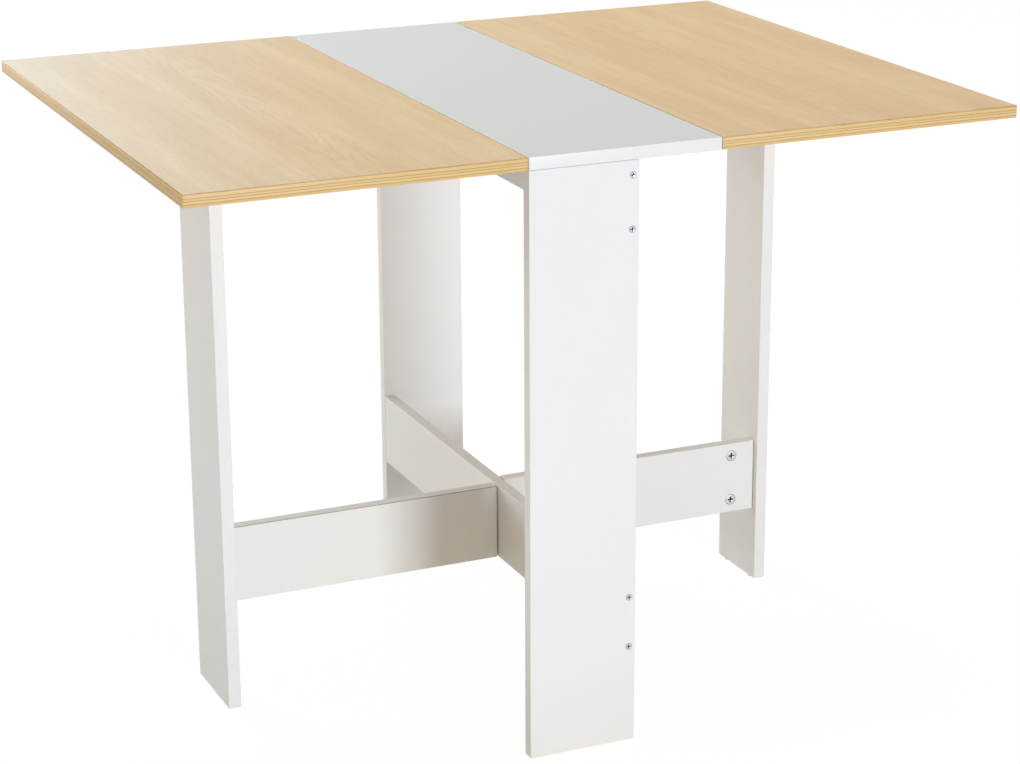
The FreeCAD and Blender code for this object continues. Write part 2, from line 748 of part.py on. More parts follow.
for gate in gates:
    side = gate["side"]
    sign = gate["sign"]
    pinX, pinY = gate["pin"]
    turn = gate["turn"]
    leg(gate)
    lowerSet = ("railMiddle", lowerHingeZ, lowerCamZs)
    upperSet = ("upperMiddle", upperHingeZ, upperCamZs)
    stretcher(gate, "_lower_stretcher", "railLift", "railHeight", *lowerSet)
    stretcher(gate, "_upper_stretcher", "upperTop - upperHeight", "upperHeight", *upperSet)
    camZs = lowerCamZs + upperCamZs
    camPlaces = [(sign + "camX", gate["face"], z, gate["camTurn"]) for z in camZs]
    copies(side + "_gate_cams", camLock, camPlaces)
    boltPlaces = [(sign + "boltStart", gate["middle"], z, toward[gate["toLeg"]]) for z in camZs]
    copies(side + "_gate_cam_bolts", camBolt, boltPlaces)
    dowelAt = sign + "(legInner - dowelInner)"
    copies(
        side + "_gate_dowels",
        dowel,
        [(dowelAt, gate["middle"], z, toward[gate["toLeg"]]) for z in ("railMiddle", "upperMiddle")],
    )
    copies(
        side + "_leg_glides",
        glide,
        [(gate["legX"] + " + frameBoard / 2", y, "glideGap", straight) for y in gate["glideYs"]],
    )
    hinges = [(pinX, pinY, z, turn) for z in gateHingeZs]
    copies(side + "_gate_hinge_rail_plates", gateRailPlate, hinges)
    copies(side + "_gate_hinge_swing_plates", gateSwingPlate, hinges)
    pins = [(pinX, pinY, z + " - gateHingeLength / 2", straight) for z in gateHingeZs]
    copies(side + "_gate_hinge_pins", gatePin, pins)
    railWay = toward[gate["fromLeg"]]
    railPlaces = [(gate["railHead"], gate["railScrewY"], z, railWay) for z in gateScrewZs]
    copies(side + "_gate_hinge_rail_screws", gateScrew, railPlaces)
    swingWay = toward[gate["intoWood"]]
    swingPlaces = [(gate["hingeX"], gate["swingHead"], z, swingWay) for z in gateScrewZs]
    copies(side + "_gate_hinge_swing_screws", gateScrew, swingPlaces)

# Leaf hinges: three under each seam
for side, sign, turn in (("left", "0 - ", halfTurn), ("right", "", straight)):
    pinAt = sign + "leafPinX"
    places = [(pinAt, y, "leafPinZ", turn) for y in leafHingeYs]
    copies(side + "_leaf_hinge_fixed_plates", leafFixedPlate, places)
    copies(side + "_leaf_hinge_moving_plates", leafMovingPlate, places)
    pins = [(pinAt, y + " - leafHingeLength / 2", "leafPinZ", toward["+Y"]) for y in leafHingeYs]
    copies(side + "_leaf_hinge_pins", leafPin, pins)
    head = "underTop - leafHingePlate"
    fixedAt = sign + "(leafPinX - leafScrewOff)"
    movingAt = sign + "(leafPinX + leafScrewOff)"
    fixedPlaces = [(fixedAt, y, head, straight) for y in leafScrewYs]
    copies(side + "_leaf_hinge_fixed_screws", smallScrew, fixedPlaces)
    movingPlaces = [(movingAt, y, head, straight) for y in leafScrewYs]
    copies(side + "_leaf_hinge_moving_screws", smallScrew, movingPlaces)

doc.recompute()

# Nothing may be left failed, empty or invalid
for item in doc.Objects:
    if "Invalid" in item.State or "Error" in item.State:
        raise RuntimeError("failed object: " + item.Label)
for node in nodes:
    if node.Shape.isNull() or not node.Shape.isValid() or not node.Shape.Solids:
        raise RuntimeError("bad shape: " + node.Label)

os.makedirs("parts", exist_ok=True)
for node in nodes:
    node.Shape.exportStep("parts/" + node.Label + ".step")
    print(node.Label, len(node.Shape.Solids), "solids", round(node.Shape.Volume), "mm3")
whole = FreeCAD.BoundBox()
for node in nodes:
    whole.add(node.Shape.BoundBox)
print(len(nodes), "nodes, box", whole)
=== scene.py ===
import bpy
import bmesh
import json
import math
from mathutils import Matrix, Vector

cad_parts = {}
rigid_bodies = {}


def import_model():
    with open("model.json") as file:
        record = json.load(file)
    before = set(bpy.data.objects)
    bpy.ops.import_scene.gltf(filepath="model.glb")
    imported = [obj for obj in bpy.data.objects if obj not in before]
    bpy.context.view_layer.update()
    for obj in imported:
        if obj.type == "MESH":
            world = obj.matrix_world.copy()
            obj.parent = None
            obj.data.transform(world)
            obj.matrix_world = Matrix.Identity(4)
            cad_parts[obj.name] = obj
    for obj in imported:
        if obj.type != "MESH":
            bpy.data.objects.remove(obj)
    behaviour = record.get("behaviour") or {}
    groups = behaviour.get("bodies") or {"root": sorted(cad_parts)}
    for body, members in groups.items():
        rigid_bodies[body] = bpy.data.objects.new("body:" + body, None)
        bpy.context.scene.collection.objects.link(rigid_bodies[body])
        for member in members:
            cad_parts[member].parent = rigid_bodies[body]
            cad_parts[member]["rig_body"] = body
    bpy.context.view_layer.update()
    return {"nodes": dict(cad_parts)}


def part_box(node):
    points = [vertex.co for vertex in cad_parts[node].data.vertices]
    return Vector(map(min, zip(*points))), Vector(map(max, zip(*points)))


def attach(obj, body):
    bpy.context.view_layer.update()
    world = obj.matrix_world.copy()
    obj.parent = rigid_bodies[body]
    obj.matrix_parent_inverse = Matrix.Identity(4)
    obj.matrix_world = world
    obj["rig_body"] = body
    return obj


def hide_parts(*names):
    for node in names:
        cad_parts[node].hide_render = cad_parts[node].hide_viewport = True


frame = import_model()
print("frame loaded:", len(frame["nodes"]), "nodes")


# small helpers for shader trees
def srgb(red, green, blue):
    # colour as seen on a screen, 0 to 255, to the linear value a shader takes
    def step(value):
        value = value / 255
        return value / 12.92 if value <= 0.04045 else ((value + 0.055) / 1.055) ** 2.4

    return (step(red), step(green), step(blue), 1.0)


def grey(value):
    return (value, value, value, 1.0)


def addNode(tree, kind, inputs, **settings):
    # a node with its settings, each input a plain value or another node's output
    node = tree.nodes.new(kind)
    for key, value in settings.items():
        setattr(node, key, value)
    for key, value in dict(inputs).items():
        if isinstance(value, bpy.types.NodeSocket):
            tree.links.new(value, node.inputs[key])
        else:
            node.inputs[key].default_value = value
    return node


def mathNode(tree, operation, *values):
    return addNode(tree, "ShaderNodeMath", enumerate(values), operation=operation).outputs[0]


def vectorMath(tree, operation, *values):
    return addNode(tree, "ShaderNodeVectorMath", enumerate(values), operation=operation)


def spread(tree, value, low, high):
    # map 0 to 1 onto a working range
    return addNode(tree, "ShaderNodeMapRange", {"Value": value, "To Min": low, "To Max": high}).outputs[0]


def rampNode(tree, factor, stops, interpolation="LINEAR"):
    node = addNode(tree, "ShaderNodeValToRGB", {0: factor})
    ramp = node.color_ramp
    ramp.interpolation = interpolation
    while len(ramp.elements) < len(stops):
        ramp.elements.new(0.5)
    for element, (place, colour) in zip(ramp.elements, stops):
        element.position = place
        element.color = colour if len(colour) == 4 else (*colour, 1.0)
    return node.outputs[0]


def maskRamp(tree, factor, low, high, strength=1.0, interpolation="LINEAR"):
    # 0 below low, strength above high
    return rampNode(tree, factor, [(low, grey(0.0)), (high, grey(strength))], interpolation)


def noiseNode(tree, vector, scale, detail, roughness):
    inputs = {"Vector": vector, "Scale": scale, "Detail": detail, "Roughness": roughness}
    return addNode(tree, "ShaderNodeTexNoise", inputs).outputs["Fac"]


def stretched(tree, vector, scale):
    return addNode(tree, "ShaderNodeMapping", {"Vector": vector, "Scale": scale}).outputs["Vector"]


def noiseLayer(tree, vector, layer):
    # a layer says its stretch along the axes, then scale, detail and roughness
    stretch, scale, detail, roughness = layer
    return noiseNode(tree, stretched(tree, vector, stretch), scale, detail, roughness)


def mixColours(tree, factor, first, second):
    return addNode(tree, "ShaderNodeMix", {0: factor, 6: first, 7: second}, data_type="RGBA").outputs[2]


def mixShaders(tree, base, layers):
    # each shader laid over the last one by its share
    for share, shader in layers:
        base = addNode(tree, "ShaderNodeMixShader", {0: share, 1: base, 2: shader}).outputs[0]
    return base


def addBump(tree, shader, height, strength, distance):
    bump = addNode(tree, "ShaderNodeBump", {"Height": height, "Strength": strength, "Distance": distance})
    tree.links.new(bump.outputs["Normal"], shader.inputs["Normal"])


# shared effects
def newGroup(name, inputs, outputs):
    tree = bpy.data.node_groups.new(name, "ShaderNodeTree")
    for label, kind, value in inputs:
        socket = tree.interface.new_socket(name=label, in_out="INPUT", socket_type=kind)
        socket.default_value = value
    for label in outputs:
        tree.interface.new_socket(name=label, in_out="OUTPUT", socket_type="NodeSocketFloat")
    return tree, tree.nodes.new("NodeGroupInput"), tree.nodes.new("NodeGroupOutput")


def useGroup(tree, group, vector, **values):
    return addNode(tree, "ShaderNodeGroup", {"Vector": vector, **values}, node_tree=group)


vectorInput = ("Vector", "NodeSocketVector", (0, 0, 0))
speckleShape = {
    "broad": 4.0,
    "fine": 600.0,
    "driftDetail": 3.0,
    "peelDetail": 2.0,
    "roughness": 0.5,
}


def makeSpeckle():
    # slow tone drift and fine orange-peel of a pressed or plated surface
    broad = ("Broad", "NodeSocketFloat", speckleShape["broad"])
    fine = ("Fine", "NodeSocketFloat", speckleShape["fine"])
    tree, start, end = newGroup("speckle", [vectorInput, broad, fine], ["Drift", "Peel"])
    vector = start.outputs["Vector"]
    for label, size in (("Drift", "Broad"), ("Peel", "Fine")):
        detail = speckleShape[label.lower() + "Detail"]
        noise = noiseNode(tree, vector, start.outputs[size], detail, speckleShape["roughness"])
        tree.links.new(noise, end.inputs[label])
    return tree


# oak figure: noise layers, and arches of pores round a centre, of which each leaf shows one set
grainShape = {
    "archCentre": (0.315, -0.10),
    "archStretch": 0.10,
    "archPitch": 0.0075,
    "archReach": (0.02, 0.10),
    "archRest": 0.12,
    "archBend": 0.05,
    "archEdge": 2.5,
    "archInPores": 0.5,
    "poreCut": (0.52, 0.68),
    "bands": ((1.0, 0.10, 1.0), 15.0, 2.0, 0.5),
    "mottle": ((1.0, 0.20, 1.0), 60.0, 4.0, 0.6),
    "streaks": ((1.0, 0.035, 1.0), 95.0, 3.0, 0.55),
    "flecks": ((1.0, 0.16, 1.0), 620.0, 2.0, 0.6),
    "pores": ((1.0, 0.07, 1.0), 430.0, 2.0, 0.5),
    "bend": ((1.0, 0.35, 1.0), 11.0, 3.0, 0.5),
}


def makeArches(tree, vector, pores):
    # bent rings round the arch centre, long along Y, that fade outwards and are broken up by the pores
    apart = addNode(tree, "ShaderNodeSeparateXYZ", {0: vector})
    centreX, centreY = grainShape["archCentre"]
    across = mathNode(tree, "SUBTRACT", mathNode(tree, "ABSOLUTE", apart.outputs["X"]), centreX)
    along = mathNode(tree, "SUBTRACT", apart.outputs["Y"], centreY)
    along = mathNode(tree, "MULTIPLY", along, grainShape["archStretch"])
    squares = mathNode(tree, "MULTIPLY_ADD", across, across, mathNode(tree, "MULTIPLY", along, along))
    reach = mathNode(tree, "SQRT", squares)
    bend = noiseLayer(tree, vector, grainShape["bend"])
    bent = mathNode(tree, "MULTIPLY_ADD", bend, grainShape["archBend"], reach)
    wave = mathNode(tree, "SINE", mathNode(tree, "MULTIPLY", bent, 2 * math.pi / grainShape["archPitch"]))
    rings = mathNode(tree, "POWER", mathNode(tree, "MULTIPLY_ADD", wave, 0.5, 0.5), grainShape["archEdge"])
    share = grainShape["archInPores"]
    rings = mathNode(tree, "MULTIPLY", rings, mathNode(tree, "MULTIPLY_ADD", pores, share, 1 - share))
    near, far = grainShape["archReach"]
    rest = grainShape["archRest"]
    limits = {"Value": reach, "From Min": near, "From Max": far, "To Min": 1.0, "To Max": rest}
    fade = addNode(tree, "ShaderNodeMapRange", limits)
    return mathNode(tree, "MULTIPLY", rings, fade.outputs[0])


def makeGrain():
    # oak figure that runs along Y: broad bands, soft mottling, streaks, short pores and arches
    plain = ("Bands", "Mottle", "Streaks", "Flecks")
    tree, start, end = newGroup("woodGrain", [vectorInput], [*plain, "Pores", "Arches"])
    vector = start.outputs["Vector"]
    for name in plain:
        tree.links.new(noiseLayer(tree, vector, grainShape[name.lower()]), end.inputs[name])
    pores = maskRamp(tree, noiseLayer(tree, vector, grainShape["pores"]), *grainShape["poreCut"])
    tree.links.new(pores, end.inputs["Pores"])
    tree.links.new(makeArches(tree, vector, pores), end.inputs["Arches"])
    return tree


speckleGroup = makeSpeckle()
grainGroup = makeGrain()


def newMaterial(name):
    material = bpy.data.materials.new(name)
    material.use_nodes = True
    tree = material.node_tree
    tree.nodes.clear()
    shader = tree.nodes.new("ShaderNodeBsdfPrincipled")
    addNode(tree, "ShaderNodeOutputMaterial", {"Surface": shader.outputs[0]})
    place = tree.nodes.new("ShaderNodeTexCoord")
    return material, tree, shader, place.outputs["Object"]


# oak laminate: each mark says where it starts, where it is full, and how strong it is
oakLook = {
    "light": srgb(224, 192, 139),
    "middle": srgb(215, 179, 121),
    "dark": srgb(194, 151, 94),
    "pore": srgb(174, 131, 80),
    "roughness": (0.36, 0.46),
    "drift": 2.5,
    "peel": 900.0,
    "bandEdges": (0.36, 0.64),
    "marks": (
        ("Mottle", 0.40, 0.80, 0.20),
        ("Streaks", 0.44, 0.80, 0.30),
        ("Flecks", 0.40, 0.80, 0.26),
        ("Arches", 0.10, 1.00, 0.42),
    ),
    "pores": 0.10,
    "bump": (0.10, 0.0003),
}


def makeOakFace():
    material, tree, shader, place = newMaterial("oakFace")
    grain = useGroup(tree, grainGroup, place)
    speck = useGroup(tree, speckleGroup, place, Broad=oakLook["drift"], Fine=oakLook["peel"])
    soft = maskRamp(tree, grain.outputs["Bands"], *oakLook["bandEdges"], interpolation="EASE")
    base = mixColours(tree, soft, oakLook["middle"], oakLook["light"])
    for name, low, high, strength in oakLook["marks"]:
        share = maskRamp(tree, grain.outputs[name], low, high, strength)
        base = mixColours(tree, share, base, oakLook["dark"])
    dots = mathNode(tree, "MULTIPLY", grain.outputs["Pores"], oakLook["pores"])
    base = mixColours(tree, dots, base, oakLook["pore"])
    tree.links.new(base, shader.inputs["Base Color"])
    tree.links.new(spread(tree, speck.outputs["Drift"], *oakLook["roughness"]), shader.inputs["Roughness"])
    height = mathNode(tree, "SUBTRACT", speck.outputs["Peel"], grain.outputs["Pores"])
    addBump(tree, shader, height, *oakLook["bump"])
    return material


# leaf edging, printed like the layers of plywood, from its lower to its upper edge
edgingLook = {
    "low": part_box("left_leaf_edging")[0].z,
    "high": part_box("left_leaf_edging")[1].z,
    "light": srgb(233, 203, 145),
    "middle": srgb(226, 188, 124),
    "line": srgb(174, 127, 69),
    "layers": (
        (0.00, "middle"), (0.17, "middle"), (0.23, "line"), (0.28, "light"), (0.40, "light"),
        (0.46, "line"), (0.51, "light"), (0.60, "middle"), (0.66, "line"), (0.71, "light"),
        (0.78, "middle"), (0.83, "light"), (0.91, "middle"), (0.97, "line"),
    ),
    "waves": (
        (((1.0, 1.0, 0.2), 14.0, 2.0, 0.5), 0.05),
        (((1.0, 1.0, 0.5), 90.0, 3.0, 0.6), 0.025),
    ),
    "fibres": ((0.03, 0.03, 1.0), 1500.0, 3.0, 0.6),
    "blend": (-0.25, 0.75),
    "roughness": 0.5,
    "bump": (0.15, 0.0002),
}


def makeOakEdge():
    material, tree, shader, place = newMaterial("oakEdge")
    height = addNode(tree, "ShaderNodeSeparateXYZ", {0: place}).outputs["Z"]
    limits = {"Value": height, "From Min": edgingLook["low"], "From Max": edgingLook["high"]}
    rise = addNode(tree, "ShaderNodeMapRange", limits).outputs[0]
    for layer, size in edgingLook["waves"]:
        rise = mathNode(tree, "ADD", rise, spread(tree, noiseLayer(tree, place, layer), -size, size))
    layers = rampNode(tree, rise, [(at, edgingLook[tone]) for at, tone in edgingLook["layers"]])
    fibres = noiseLayer(tree, place, edgingLook["fibres"])
    base = mixColours(tree, spread(tree, fibres, *edgingLook["blend"]), layers, edgingLook["middle"])
    tree.links.new(base, shader.inputs["Base Color"])
    shader.inputs["Roughness"].default_value = edgingLook["roughness"]
    addBump(tree, shader, fibres, *edgingLook["bump"])
    return material


beechLook = {
    "light": srgb(214, 180, 138),
    "dark": srgb(186, 146, 104),
    "stretch": (0.05, 1.0, 1.0),
    "roughness": 0.6,
    "bump": (0.2, 0.0002),
}


def makeBeech():
    material, tree, shader, place = newMaterial("beechDowel")
    streaks = useGroup(tree, grainGroup, stretched(tree, place, beechLook["stretch"])).outputs["Streaks"]
    base = mixColours(tree, streaks, beechLook["light"], beechLook["dark"])
    tree.links.new(base, shader.inputs["Base Color"])
    shader.inputs["Roughness"].default_value = beechLook["roughness"]
    addBump(tree, shader, streaks, *beechLook["bump"])
    return material


# smooth finishes: two tones that drift into each other, and a fine peel
smoothLooks = {
    "greyFace": {"tones": ((211, 209, 206), (208, 206, 203)), "roughness": (0.34, 0.42),
                 "drift": 3.0, "peel": 1200.0, "bump": (0.06, 0.0002), "metal": 0.0},
    "whiteEdge": {"tones": ((242, 240, 236), (239, 237, 233)), "roughness": (0.38, 0.48),
                  "drift": 6.0, "peel": 900.0, "bump": (0.08, 0.0002), "metal": 0.0},
    "whiteFace": {"tones": ((241, 239, 235), (238, 236, 232)), "roughness": (0.40, 0.50),
                  "drift": 3.0, "peel": 900.0, "bump": (0.08, 0.0002), "metal": 0.0},
    "whiteNylon": {"tones": ((226, 226, 222), (216, 216, 212)), "roughness": (0.45, 0.60),
                   "drift": 40.0, "peel": 1500.0, "bump": (0.10, 0.0001), "metal": 0.0},
    # painted shade: a dark line on the left stretchers' upper edges, at the edge band's joint
    "seamLine": {"tones": ((170, 161, 149), (156, 147, 135)), "roughness": (0.60, 0.70),
                 "drift": 40.0, "peel": 900.0, "bump": (0.05, 0.0001), "metal": 0.0},
    "zincPlate": {"tones": ((206, 206, 205), (182, 182, 180)), "roughness": (0.32, 0.48),
                  "drift": 60.0, "peel": 1800.0, "bump": (0.12, 0.0001), "metal": 1.0},
    "zincScrew": {"tones": ((236, 244, 251), (202, 214, 227)), "roughness": (0.18, 0.34),
                  "drift": 60.0, "peel": 2500.0, "bump": (0.12, 0.0001), "metal": 1.0},
    # painted shade: dark blue-grey for the screws' cross recesses and chamfers, where shade falls
    "screwRecess": {"tones": ((42, 58, 88), (22, 34, 58)), "roughness": (0.45, 0.60),
                    "drift": 60.0, "peel": 2500.0, "bump": (0.12, 0.0001), "metal": 1.0},
    "zincCam": {"tones": ((236, 235, 232), (206, 205, 201)), "roughness": (0.26, 0.42),
                "drift": 60.0, "peel": 2200.0, "bump": (0.12, 0.0001), "metal": 1.0},
    # painted shade: dark grey for the cam locks' cross recesses and the chamfer of the gap round them
    "camRecess": {"tones": ((98, 96, 92), (66, 64, 60)), "roughness": (0.45, 0.60),
                  "drift": 60.0, "peel": 2200.0, "bump": (0.12, 0.0001), "metal": 1.0},
}


def makeSmooth(name, look):
    material, tree, shader, place = newMaterial(name)
    speck = useGroup(tree, speckleGroup, place, Broad=look["drift"], Fine=look["peel"])
    first, second = (srgb(*tone) for tone in look["tones"])
    base = mixColours(tree, speck.outputs["Drift"], first, second)
    tree.links.new(base, shader.inputs["Base Color"])
    tree.links.new(spread(tree, speck.outputs["Peel"], *look["roughness"]), shader.inputs["Roughness"])
    shader.inputs["Metallic"].default_value = look["metal"]
    addBump(tree, shader, speck.outputs["Peel"], *look["bump"])
    return material


finishes = {name: makeSmooth(name, look) for name, look in smoothLooks.items()}
finishes.update(oakFace=makeOakFace(), oakEdge=makeOakEdge(), beechDowel=makeBeech())
print("finishes made:", len(finishes))

# shaping helpers
nearby = 0.000005  # closer than this counts as the same place
flatAngle = math.radians(0.3)  # faces that turn less than this are one flat face


def bodyOf(node):
    return frame["nodes"][node]["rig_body"]


def meshOf(node):
    # mesh of a solid, its corners joined and its flat faces made whole
    bm = bmesh.new()
    bm.from_mesh(frame["nodes"][node].data)
    bmesh.ops.remove_doubles(bm, verts=bm.verts, dist=nearby)
    bmesh.ops.dissolve_limit(bm, angle_limit=flatAngle, verts=bm.verts, edges=bm.edges)
    return bm


def roundEdges(bm, edges, width, segments, clamp=True):
    made = bmesh.ops.bevel(bm, geom=edges, offset=width, offset_type="OFFSET", segments=segments,
                           profile=0.5, affect="EDGES", clamp_overlap=clamp, material=-1)
    return made["faces"]


def finishPiece(name, bm, looks, node, smoothAngle):
    # store a finished shape as an object at the origin that rides on its body
    mesh = bpy.data.meshes.new(name)
    bm.to_mesh(mesh)
    bm.free()
    for finish in looks:
        mesh.materials.append(finishes[finish])
    for face in mesh.polygons:
        face.use_smooth = True
    mesh.set_sharp_from_angle(angle=math.radians(smoothAngle))
    piece = bpy.data.objects.new(name, mesh)
    bpy.context.scene.collection.objects.link(piece)
    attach(piece, bodyOf(node))
    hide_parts(node)
    return piece


# boards: joints are the ends that meet another board, as axis and way; along the upper edges of the left
# stretchers a dark line is painted shade where the edge band meets the face
boardShape = {
    "edgeRadius": 0.0007,
    "topRadius": 0.0001,
    "segments": 3,
    "jointGap": 0.0008,
    "topGap": 0.0003,
    "squareAngle": 60,
    "seamSlope": 0.2,
    "smoothAngle": 40,
}
boardPieces = {
    "left_leaf": {"name": "leafBoardLeft", "finish": "oakFace", "slot": "oak_laminate", "top": True},
    "right_leaf": {"name": "leafBoardRight", "finish": "oakFace", "slot": "oak_laminate", "top": True},
    "centre_top": {"name": "centreBoard", "finish": "greyFace", "slot": "grey_laminate", "top": True},
    "front_panel": {"name": "panelFront", "joints": [(2, 1)]},
    "back_panel": {"name": "panelBack", "joints": [(2, 1)]},
    "lower_rail": {"name": "railLower", "joints": [(1, -1), (1, 1)]},
    "upper_rail": {"name": "railUpper", "joints": [(1, -1), (1, 1)]},
    "left_leg": {"name": "legLeft"},
    "right_leg": {"name": "legRight"},
    "left_lower_stretcher": {"name": "stretcherLowerLeft", "joints": [(0, -1)], "seam": True},
    "left_upper_stretcher": {"name": "stretcherUpperLeft", "joints": [(0, -1)], "seam": True},
    "right_lower_stretcher": {"name": "stretcherLowerRight", "joints": [(0, 1)]},
    "right_upper_stretcher": {"name": "stretcherUpperRight", "joints": [(0, 1)]},
}


def softenBoard(node, board):
    # board with its drilled holes, its outer edges slightly rounded and its jointed ends drawn back a hair
    low, high = (corner.copy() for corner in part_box(node))
    squareAngle = math.radians(boardShape["squareAngle"])
    slope = boardShape["seamSlope"]
    bm = meshOf(node)
    for axis, way in board.get("joints", ()):
        end = high if way > 0 else low
        moved = end[axis] - way * boardShape["topGap" if axis == 2 else "jointGap"]
        for vert in bm.verts:
            if abs(vert.co[axis] - end[axis]) < nearby:
                vert.co[axis] = moved
        end[axis] = moved

    def outer(vert):
        # axes along which this corner lies on the outside of the board
        at = vert.co
        return {axis for axis in range(3) if min(at[axis] - low[axis], high[axis] - at[axis]) < nearby}

    def isRim(edge):
        onCorner = len(outer(edge.verts[0]) & outer(edge.verts[1])) >= 2
        return onCorner and len(edge.link_faces) == 2 and edge.calc_face_angle() > squareAngle

    looks = [board.get("finish", "whiteFace")]
    radius = boardShape["topRadius" if board.get("top") else "edgeRadius"]
    rims = [edge for edge in bm.edges if isRim(edge)]
    rounded = roundEdges(bm, rims, radius, boardShape["segments"], clamp=False)
    # painted shade: the rounded upper front and back edges get the dark line of the edge band's joint
    if board.get("seam"):
        looks.append("seamLine")
        for face in rounded:
            if face.normal.z > slope and abs(face.normal.y) > slope:
                face.material_index = 1
    piece = finishPiece(board["name"], bm, looks, node, boardShape["smoothAngle"])
    weigh = piece.modifiers.new("flatFaces", "WEIGHTED_NORMAL")
    weigh.keep_sharp = True


for node, board in boardPieces.items():
    softenBoard(node, board)
print("boards made:", len(boardPieces))

# edging
edgingShape = {
    "thickness": 0.001,
    "edgeRadius": 0.0003,
    "segments": 2,
    "smoothAngle": 40,
}
edgingPieces = {
    "left_leaf_edging": ("edgingLeafLeft", "oakEdge", "plywood_look_edging"),
    "right_leaf_edging": ("edgingLeafRight", "oakEdge", "plywood_look_edging"),
    "centre_top_edging": ("edgingCentre", "whiteEdge", "white_edging"),
}


def addStrip(bm, low, high):
    # one strip between two corners, its edges slightly rounded
    size = high - low
    made = bmesh.ops.create_cube(bm, size=1.0)
    for vert in made["verts"]:
        vert.co = Vector(low[axis] + (vert.co[axis] + 0.5) * size[axis] for axis in range(3))
    edges = {edge for vert in made["verts"] for edge in vert.link_edges}
    roundEdges(bm, list(edges), edgingShape["edgeRadius"], edgingShape["segments"])


def makeEdging(node, name, finish):
    # two long strips with two short ones let in between them
    low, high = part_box(node)
    thick = edgingShape["thickness"]
    bm = bmesh.new()
    for side in (low.x, high.x - thick):
        addStrip(bm, Vector((side, low.y, low.z)), Vector((side + thick, high.y, high.z)))
    for end in (low.y, high.y - thick):
        addStrip(bm, Vector((low.x + thick, end, low.z)), Vector((high.x - thick, end + thick, high.z)))
    finishPiece(name, bm, [finish], node, edgingShape["smoothAngle"])


for node, (name, finish, slot) in edgingPieces.items():
    makeEdging(node, name, finish)
print("edging made:", len(edgingPieces))

# heads of screws and cam locks: rim and mouth are chamfer widths, recess its depth, reach its half width;
# the second finish is painted shade on the recess and the chamfers
headShapes = {
    "screws": {"looks": ["zincScrew", "screwRecess"], "rim": 0.0006, "mouth": 0.0004,
               "recess": 0.0011, "reach": 0.00275, "longAxis": True},
    "cams": {"looks": ["zincCam", "camRecess"], "rim": 0.0006, "mouth": 0.0002,
             "recess": 0.0022, "reach": 0.0045, "longAxis": False},
}
headFinish = {
    "bendAngle": 20,
    "smoothAngle": 30,
    "segments": 2,
    "slot": "zinc_fittings",
}


def solidsOf(bm):
    # groups of vertices that hang together
    left = set(bm.verts)
    groups = []
    while left:
        stack = [left.pop()]
        group = []
        while stack:
            vert = stack.pop()
            group.append(vert)
            for edge in vert.link_edges:
                other = edge.other_vert(vert)
                if other in left:
                    left.remove(other)
                    stack.append(other)
        groups.append(group)
    return groups


def headOf(group, longAxis):
    # axis of a fitting, place of the face with the recess, and middle of that face
    low = [min(vert.co[axis] for vert in group) for axis in range(3)]
    high = [max(vert.co[axis] for vert in group) for axis in range(3)]
    size = [high[axis] - low[axis] for axis in range(3)]
    axis = size.index(max(size) if longAxis else min(size))
    counts = [sum(abs(vert.co[axis] - end[axis]) < nearby for vert in group) for end in (low, high)]
    faceAt = low[axis] if counts[0] > counts[1] else high[axis]
    middle = Vector((low[index] + high[index]) / 2 for index in range(3))
    middle[axis] = faceAt
    return axis, faceAt, middle


def offAxis(point, middle, axis):
    away = point - middle
    away[axis] = 0
    return away.length


def camelName(node):
    first, *others = node.split("_")
    return first + "".join(word.capitalize() for word in others)


def dressHeads(node, shape):
    # chamfer the rim and the recess mouth of every head, and give both chamfers and the recess a darker
    # finish that is painted shade
    bm = meshOf(node)
    bendAngle = math.radians(headFinish["bendAngle"])
    rims, mouths = [], []
    for group in solidsOf(bm):
        axis, faceAt, middle = headOf(group, shape["longAxis"])

        def inRecess(verts):
            return max(offAxis(vert.co, middle, axis) for vert in verts) < shape["reach"]

        def depthOf(point):
            return abs(point[axis] - faceAt)

        for edge in {edge for vert in group for edge in vert.link_edges}:
            flush = all(depthOf(vert.co) < nearby for vert in edge.verts)
            if flush and edge.calc_face_angle() > bendAngle:
                (mouths if inRecess(edge.verts) else rims).append(edge)
        for face in {face for vert in group for face in vert.link_faces}:
            shallow = all(depthOf(vert.co) < shape["recess"] + nearby for vert in face.verts)
            if depthOf(face.calc_center_median()) > nearby and shallow and inRecess(face.verts):
                # painted shade on the recess faces
                face.material_index = 1
    for edges, width in ((mouths, shape["mouth"]), (rims, shape["rim"])):
        # the chamfers also get the painted shade
        for face in roundEdges(bm, edges, width, headFinish["segments"]):
            face.material_index = 1
    finishPiece(camelName(node), bm, shape["looks"], node, headFinish["smoothAngle"])


headNodes = [node for node in frame["nodes"] if node.endswith(tuple(headShapes))]
for node in headNodes:
    dressHeads(node, headShapes[node.split("_")[-1]])
print("heads made:", len(headNodes))

# other fittings keep their shape and get their finish
fittingFinishes = {
    "dowels": "beechDowel",
    "glides": "whiteNylon",
    "plates": "zincPlate",
    "brackets": "zincPlate",
    "bolts": "zincScrew",
    "pins": "zincScrew",
}
for node, item in frame["nodes"].items():
    if not item.hide_render:
        item.data.materials.clear()
        item.data.materials.append(finishes[fittingFinishes[node.split("_")[-1]]])
print("fittings finished")

# camera: place in metres, angles in degrees, focal length in pixels of a frame 1020 wide
cameraShape = {
    "place": (-1.32356, -3.07471, 1.43475),
    "turn": 23.749,
    "down": 18.094,
    "roll": -0.298,
    "focal": 2688.74,
    "wide": 1020,
    "sensor": 36.0,
    "clip": (0.05, 60.0),
}


